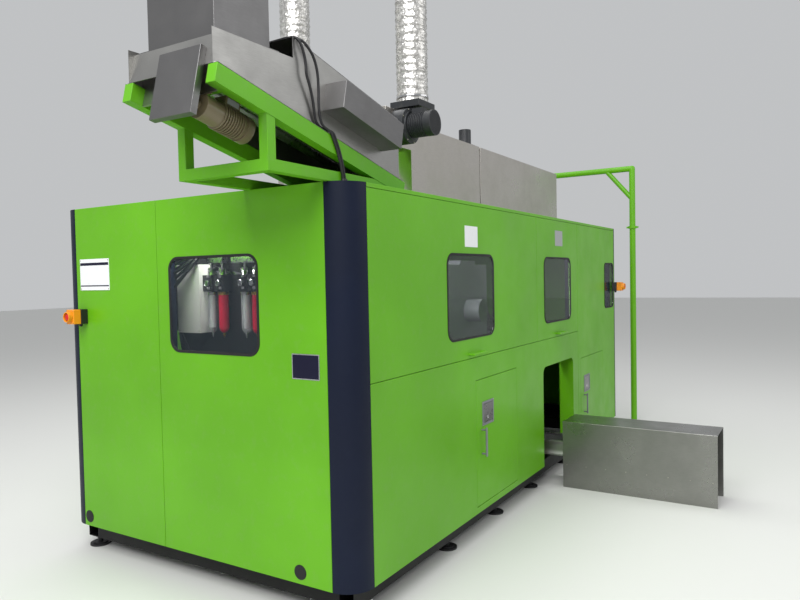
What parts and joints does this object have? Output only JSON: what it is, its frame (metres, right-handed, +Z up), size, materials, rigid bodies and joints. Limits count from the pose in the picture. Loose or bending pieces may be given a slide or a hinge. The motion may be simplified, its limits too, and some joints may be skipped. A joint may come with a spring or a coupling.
{
  "type": "blow moulding machine",
  "caption": "Cabinet blow moulding machine with gull-wing doors, roof preform sorter, chain oven, mould clamp and covered bottle conveyor, with a lifting gantry",
  "frame": {"origin": "on the floor under the centre foot of the middle cross beam, half way between the front and the rear face", "axes": "+X along the long front from the sorter's end to the gantry's end, +Y from the front to the rear, +Z up"},
  "size_m": [5.8245, 3.34, 3.5003],
  "materials": {
    "base_paint": "satin black paint",
    "foot_steel": "dark cast iron",
    "column_paint": "satin navy paint",
    "green_paint": "smooth semi-gloss lime green powder coat",
    "window_glass": "clear acrylic sheet",
    "seal_rubber": "black rubber",
    "latch_steel": "satin steel",
    "handle_black": "black moulded plastic",
    "hinge_steel": "plain steel",
    "button_box": "orange plastic",
    "button_red": "red plastic",
    "bed_paint": "grey paint",
    "track_steel": "ground steel",
    "chain_steel": "machined steel",
    "wheel_steel": "machined steel",
    "oven_steel": "stainless sheet",
    "lamp_quartz": "quartz tube",
    "clamp_steel": "grey paint on machined plates",
    "mould_aluminium": "machined aluminium",
    "stretch_steel": "machined steel",
    "service_paint": "light grey paint",
    "panel_paint": "light grey paint",
    "trough_steel": "stainless sheet",
    "cover_steel": "stainless sheet",
    "roller_steel": "ground steel",
    "gearmotor_paint": "brown-grey paint",
    "kicker_rubber": "black rubber",
    "hood_steel": "stainless sheet",
    "blower_paint": "dark grey paint",
    "duct_aluminium": "thin aluminium foil",
    "conveyor_steel": "stainless",
    "housing_steel": "stainless sheet",
    "belt_rubber": "black belt",
    "conveyor_roller": "steel",
    "cable_rubber": "black cable jacket"
  },
  "bodies": {
    "machine": {"base_frame": "base_paint", "levelling_feet": "foot_steel", "cabinet_frame": "column_paint", "corner_columns": "column_paint", "roof_panel": "green_paint", "end_panels": "green_paint", "rear_panels": "green_paint", "front_lower_panel": "green_paint", "front_right_panel": "green_paint", "fixed_panes": "window_glass", "fixed_seals": "seal_rubber", "concealed_hinges": "hinge_steel", "stop_button_boxes": "button_box", "machine_bed": "bed_paint", "chain_track": "track_steel", "carrier_chain": "chain_steel", "oven_lamp_boxes": "oven_steel", "oven_lamps": "lamp_quartz", "clamp_frame": "clamp_steel", "air_service_unit": "service_paint", "electrical_panel": "panel_paint", "sorter_frame": "green_paint", "sorter_trough": "trough_steel", "sorter_covers": "cover_steel", "sorter_gearmotor": "gearmotor_paint", "roof_hoods": "hood_steel", "blower": "blower_paint", "flexible_ducts": "duct_aluminium", "conveyor_frame": "conveyor_steel", "discharge_housing": "housing_steel", "conveyor_belt": "belt_rubber", "gantry": "green_paint", "sorter_cables": "cable_rubber"},
    "door_1": {"upper_door_1": "green_paint", "door_pane_1": "window_glass", "door_seal_1": "seal_rubber", "bow_handle_1": "green_paint"},
    "door_2": {"upper_door_2": "green_paint", "door_pane_2": "window_glass", "door_seal_2": "seal_rubber", "bow_handle_2": "green_paint"},
    "low_door_left": {"lower_door_left": "green_paint", "lower_handle_left": "handle_black"},
    "low_door_right": {"lower_door_right": "green_paint", "lower_handle_right": "handle_black"},
    "paddle_left": {"latch_paddle_left": "latch_steel"},
    "paddle_right": {"latch_paddle_right": "latch_steel"},
    "stop_left": {"stop_button_left": "button_red"},
    "stop_right": {"stop_button_right": "button_red"},
    "wheel_left": {"index_wheel_left": "wheel_steel"},
    "wheel_right": {"index_wheel_right": "wheel_steel"},
    "clamp_front": {"clamp_half_front": "mould_aluminium"},
    "clamp_rear": {"clamp_half_rear": "mould_aluminium"},
    "base": {"base_mould": "mould_aluminium"},
    "stretch": {"stretch_unit": "stretch_steel"},
    "roller_front": {"sorter_roller_front": "roller_steel"},
    "roller_rear": {"sorter_roller_rear": "roller_steel"},
    "kicker": {"kicker_wheel": "kicker_rubber"},
    "conv_drive": {"conveyor_roller_drive": "conveyor_roller"},
    "conv_end": {"conveyor_roller_end": "conveyor_roller"}
  },
  "joints": [
    {"name": "upper_door_1_hinge", "type": "hinge", "parent": "machine", "child": "door_1", "pos_m": [-1.197, -1.065, 2.015], "axis": [-1, 0, 0], "range_deg": [0, 85]},
    {"name": "upper_door_2_hinge", "type": "hinge", "parent": "machine", "child": "door_2", "pos_m": [0.378, -1.065, 2.015], "axis": [-1, 0, 0], "range_deg": [0, 85]},
    {"name": "lower_door_left_hinge", "type": "hinge", "parent": "machine", "child": "low_door_left", "pos_m": [-0.54, -1.065, 0.59], "axis": [0, 0, 1], "range_deg": [0, 95]},
    {"name": "lower_door_right_hinge", "type": "hinge", "parent": "machine", "child": "low_door_right", "pos_m": [1.63, -1.065, 0.54], "axis": [0, 0, 1], "range_deg": [0, 95]},
    {"name": "latch_left_pivot", "type": "hinge", "parent": "low_door_left", "child": "paddle_left", "pos_m": [-0.997, -1.07, 0.81], "axis": [-1, 0, 0], "range_deg": [0, 40], "stiffness_Nm_per_rad": 2, "springref_deg": -11.46},
    {"name": "latch_right_pivot", "type": "hinge", "parent": "low_door_right", "child": "paddle_right", "pos_m": [1.132, -1.07, 0.694], "axis": [-1, 0, 0], "range_deg": [0, 40], "stiffness_Nm_per_rad": 2, "springref_deg": -11.46},
    {"name": "stop_left_press", "type": "slide", "parent": "machine", "child": "stop_left", "axis": [1, 0, 0], "range_m": [0, 0.006], "stiffness_N_per_m": 800, "springref_m": -0.002},
    {"name": "stop_right_press", "type": "slide", "parent": "machine", "child": "stop_right", "axis": [0, 1, 0], "range_m": [0, 0.006], "stiffness_N_per_m": 800, "springref_m": -0.002},
    {"name": "index_right_turn", "type": "hinge", "parent": "machine", "child": "wheel_right", "pos_m": [0.905, -0.09308, 1.188], "axis": [0, 0, 1], "continuous": true, "deforming": ["carrier_chain"]},
    {"name": "index_left_turn", "type": "hinge", "parent": "machine", "child": "wheel_left", "pos_m": [-1.295, -0.09308, 1.188], "axis": [0, 0, 1], "continuous": true},
    {"name": "clamp_front_slide", "type": "slide", "parent": "machine", "child": "clamp_front", "axis": [0, 1, 0], "range_m": [0, 0.07]},
    {"name": "clamp_rear_slide", "type": "slide", "parent": "machine", "child": "clamp_rear", "axis": [0, -1, 0], "range_m": [0, 0.07]},
    {"name": "base_lift", "type": "slide", "parent": "machine", "child": "base", "axis": [0, 0, 1], "range_m": [0, 0.06]},
    {"name": "stretch_lift", "type": "slide", "parent": "machine", "child": "stretch", "axis": [0, 0, 1], "range_m": [0, 0.33]},
    {"name": "roller_front_turn", "type": "hinge", "parent": "machine", "child": "roller_front", "pos_m": [-2.89888, -0.748, 2.43073], "axis": [0.9744, 0, -0.225], "continuous": true},
    {"name": "roller_rear_turn", "type": "hinge", "parent": "machine", "child": "roller_rear", "pos_m": [-2.89888, -0.662, 2.43073], "axis": [0.9744, 0, -0.225], "continuous": true},
    {"name": "kicker_turn", "type": "hinge", "parent": "machine", "child": "kicker", "pos_m": [-2.18488, -0.705, 2.41162], "axis": [0, 1, 0], "continuous": true},
    {"name": "conveyor_drive_turn", "type": "hinge", "parent": "machine", "child": "conv_drive", "pos_m": [0.26, -2.17, 0.2857], "axis": [1, 0, 0], "continuous": true},
    {"name": "conveyor_end_turn", "type": "hinge", "parent": "machine", "child": "conv_end", "pos_m": [0.26, -0.465, 0.2857], "axis": [1, 0, 0], "continuous": true}
  ],
  "couplings": [
    {"joint": "index_left_turn", "follows": "index_right_turn", "ratio": 1},
    {"joint": "clamp_rear_slide", "follows": "clamp_front_slide", "ratio": 1},
    {"joint": "roller_rear_turn", "follows": "roller_front_turn", "ratio": -1},
    {"joint": "conveyor_end_turn", "follows": "conveyor_drive_turn", "ratio": 1}
  ]
}
